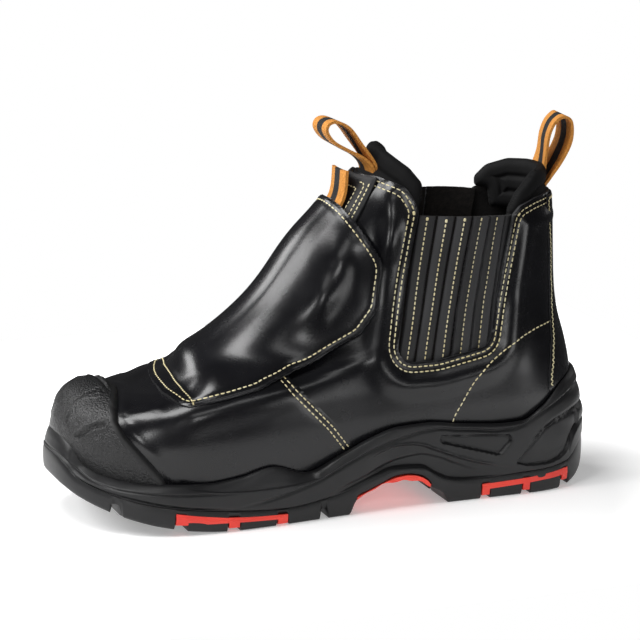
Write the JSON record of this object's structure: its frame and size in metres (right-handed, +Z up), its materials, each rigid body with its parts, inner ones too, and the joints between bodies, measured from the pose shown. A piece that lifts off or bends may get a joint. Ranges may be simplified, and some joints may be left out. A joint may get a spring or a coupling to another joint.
{
  "type": "welding boot",
  "caption": "Pull-on leather welding boot for the left foot, with elastic side gores, an instep flap, a rubber toe cap, webbing pull loops and a lugged two-layer sole",
  "frame": {"origin": "on the floor under the middle of the sole's box", "axes": "X along the foot with the toe at -X and the heel at +X, -Y to the outer side of the foot, Z up"},
  "size_m": [0.3024, 0.109, 0.2051],
  "materials": {
    "leather": "smooth glossy black leather",
    "cap_rubber": "finely grained black rubber",
    "elastic": "ribbed black elastic",
    "padding": "soft black padded fabric",
    "webbing": "woven orange webbing",
    "insole_felt": "dark felt",
    "sole_foam": "matte charcoal polyurethane",
    "sole_rubber": "matte black rubber",
    "red_rubber": "bright red rubber"
  },
  "bodies": {
    "root": {"upper": "leather", "metatarsal_flap": "leather", "front_strip": "leather", "back_strip": "leather", "toe_cap": "cap_rubber", "gore_outer": "elastic", "gore_inner": "elastic", "collar_pad_front": "padding", "collar_pad_rear": "padding", "pull_loop_front": "webbing", "pull_loop_rear": "webbing", "flap_webbing_tab": "webbing", "insole": "insole_felt", "midsole": "sole_foam", "outsole": "sole_rubber", "inlay_forefoot_outer": "red_rubber", "inlay_forefoot_inner": "red_rubber", "inlay_heel_outer": "red_rubber", "inlay_heel_inner": "red_rubber", "shank_inlay": "red_rubber"}
  },
  "joints": []
}
